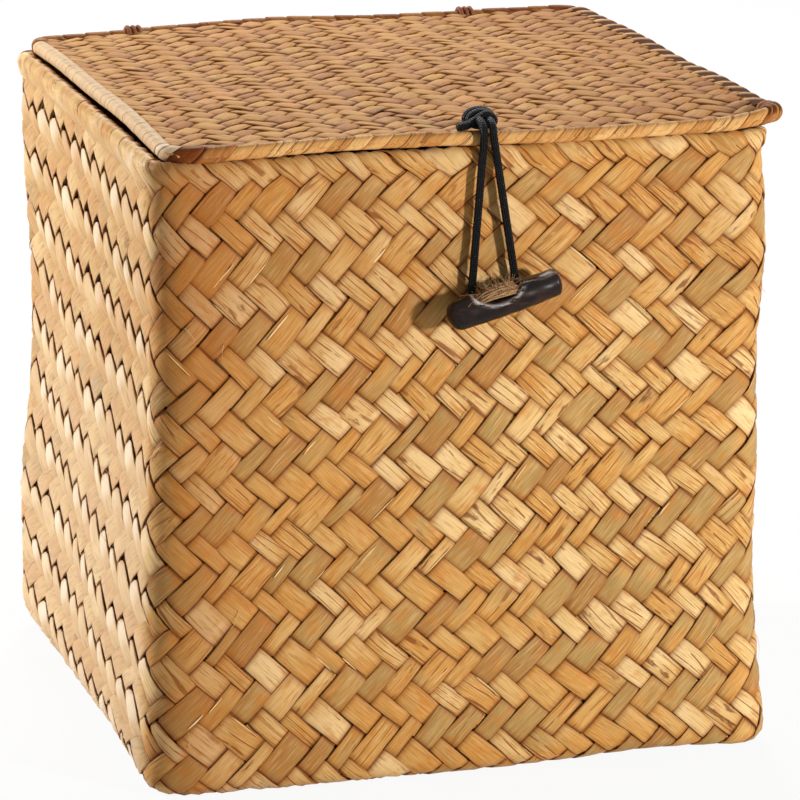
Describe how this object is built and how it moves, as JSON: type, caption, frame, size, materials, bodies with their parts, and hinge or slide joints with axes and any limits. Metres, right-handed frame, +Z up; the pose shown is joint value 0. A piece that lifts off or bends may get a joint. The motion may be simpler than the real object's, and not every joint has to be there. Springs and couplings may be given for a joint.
{
  "type": "woven lidded box",
  "caption": "Square woven rush box with a flat hinged lid, rolled edges over wire, and a front closure of an elastic loop that hooks behind a wooden toggle.",
  "frame": {"origin": "middle of the base, on the face that stands on the table", "axes": "+X to the right along the front, -Y out of the front, +Z up"},
  "size_m": [0.2103, 0.2269, 0.2189],
  "materials": {
    "rush_weave": "satin plaited rush strips",
    "rush_binding": "satin folded rush strips",
    "wire": "bare drawn wire",
    "jute": "matt twisted fibre",
    "elastic": "braided cover over a rubber core",
    "dark_wood": "polished, nearly black"
  },
  "bodies": {
    "box": {"woven_body": "rush_weave", "rim_binding": "rush_binding", "rim_wire": "wire", "toggle_tie": "jute"},
    "toggle": {"toggle": "dark_wood"},
    "lid": {"lid_panel": "rush_weave", "lid_binding": "rush_binding", "lid_wire": "wire", "hinge_tie_left": "jute", "hinge_tie_right": "jute", "loop_knot": "elastic", "loop_stopper": "elastic"},
    "loop": {"elastic_loop": "elastic"}
  },
  "joints": [
    {"name": "lid_hinge", "type": "hinge", "parent": "box", "child": "lid", "pos_m": [0, 0.1019, 0.202], "axis": [-1, 0, 0], "range_deg": [0, 100]},
    {"name": "loop_swing", "type": "hinge", "parent": "lid", "child": "loop", "pos_m": [0.0057, -0.1019, 0.2081], "axis": [-1, 0, 0], "range_deg": [0, 110], "deforming": ["elastic_loop"]},
    {"name": "toggle_turn", "type": "hinge", "parent": "box", "child": "toggle", "pos_m": [0.007, -0.1135, 0.1564], "axis": [0, 1, 0], "range_deg": [-35, 35], "stiffness_Nm_per_rad": 0.01, "deforming": ["toggle_tie"]}
  ]
}
